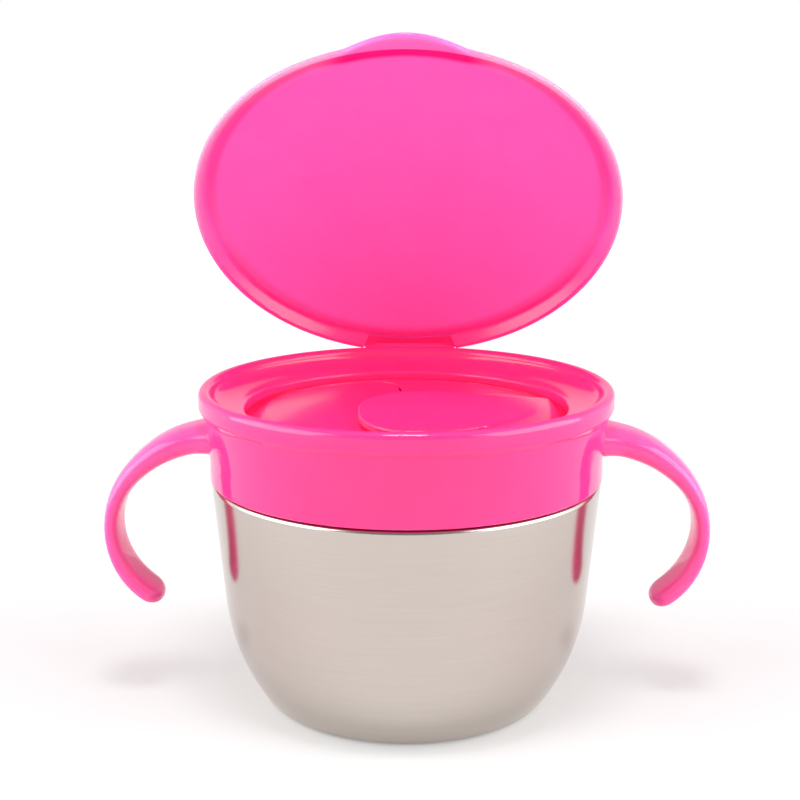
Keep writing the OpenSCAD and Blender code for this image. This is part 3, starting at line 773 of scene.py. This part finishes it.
# Matt white paper sweep: it glows a little far from the object, where the lamps don't reach
floorPaint, floorTree, floorShader, floorPlace = newMaterial("paperMattWhite")
floorShader.inputs["Base Color"].default_value = linearColour(studio["floorColour"])
floorShader.inputs["Roughness"].default_value = studio["floorRoughness"]
farOff = addNode(floorTree, "ShaderNodeVectorMath", {"operation": "LENGTH"},
                 links={0: floorPlace.outputs["Object"]})
farGlow = addNode(floorTree, "ShaderNodeMapRange", {"interpolation_type": "SMOOTHSTEP"},
                  {"From Min": studio["glowFrom"][0], "From Max": studio["glowFrom"][1],
                   "To Min": studio["nearGlow"], "To Max": studio["farGlow"]},
                  {"Value": farOff.outputs["Value"]})
floorShader.inputs["Emission Color"].default_value = (1, 1, 1, 1)
floorTree.links.new(farGlow.outputs["Result"], floorShader.inputs["Emission Strength"])
floorMesh.materials.append(floorPaint)

# A white room, with the dark side of the studio behind the camera
world = bpy.data.worlds.new("softWhite")
world.use_nodes = True
room = world.node_tree
room.nodes.clear()
direction = addNode(room, "ShaderNodeTexCoord")


def dimPatch(strength, towards, start, full, share):
    # the room is dimmer in this direction, down to a share of its level
    facing = addNode(room, "ShaderNodeVectorMath", {"operation": "DOT_PRODUCT"}, {1: towards},
                     {0: direction.outputs["Generated"]})
    patch = addNode(room, "ShaderNodeMapRange", {"interpolation_type": "SMOOTHSTEP"},
                    {"From Min": start, "From Max": full, "To Min": 1.0, "To Max": share},
                    {"Value": facing.outputs["Value"]})
    product = addNode(room, "ShaderNodeMath", {"operation": "MULTIPLY"},
                      links={0: patch.outputs["Result"], 1: strength})
    return product.outputs["Value"]


roomLevel = addNode(room, "ShaderNodeValue")
roomLevel.outputs[0].default_value = studio["around"]
strength = roomLevel.outputs[0]
for patch in dimmer:
    strength = dimPatch(strength, *patch)
seen = addNode(room, "ShaderNodeLightPath")
lit = addNode(room, "ShaderNodeBackground", links={"Strength": strength})
blank = addNode(room, "ShaderNodeBackground", values={"Color": (1, 1, 1, 1), "Strength": 1.0})
lit.inputs["Color"].default_value = (1, 1, 1, 1)
both = addNode(room, "ShaderNodeMixShader", links={0: seen.outputs["Is Camera Ray"],
                                                   1: lit.outputs["Background"],
                                                   2: blank.outputs["Background"]})
addNode(room, "ShaderNodeOutputWorld", links={"Surface": both.outputs["Shader"]})
bpy.context.scene.world = world
bpy.context.scene.view_settings.view_transform = "Standard"


def addSoftbox(name, place, size, power):
    light = bpy.data.lights.new(name, "AREA")
    light.size = size
    light.energy = power
    obj = bpy.data.objects.new(name, light)
    bpy.context.collection.objects.link(obj)
    obj.location = place
    aim = Vector((0, 0, studio["aimHeight"])) - Vector(place)
    obj.rotation_euler = aim.to_track_quat("-Z", "Y").to_euler()


for softbox in softboxes:
    addSoftbox(*softbox)

# The camera as it was fitted to the photo, in mm and degrees
view = {"distance": 329.95, "side": 5.93, "height": 141.4, "pitch": 12.73, "turn": 1.27, "lens": 69.7}
cameraData = bpy.data.cameras.new("camera")
cameraData.lens = view["lens"]
cameraData.sensor_width = 36
cameraData.clip_start = 0.01
camera = bpy.data.objects.new("camera", cameraData)
bpy.context.collection.objects.link(camera)
camera.location = Vector((view["side"], -view["distance"], view["height"])) * mm
camera.rotation_euler = (math.radians(90 - view["pitch"]), 0, math.radians(view["turn"]))
bpy.context.scene.camera = camera
print("studio ready")
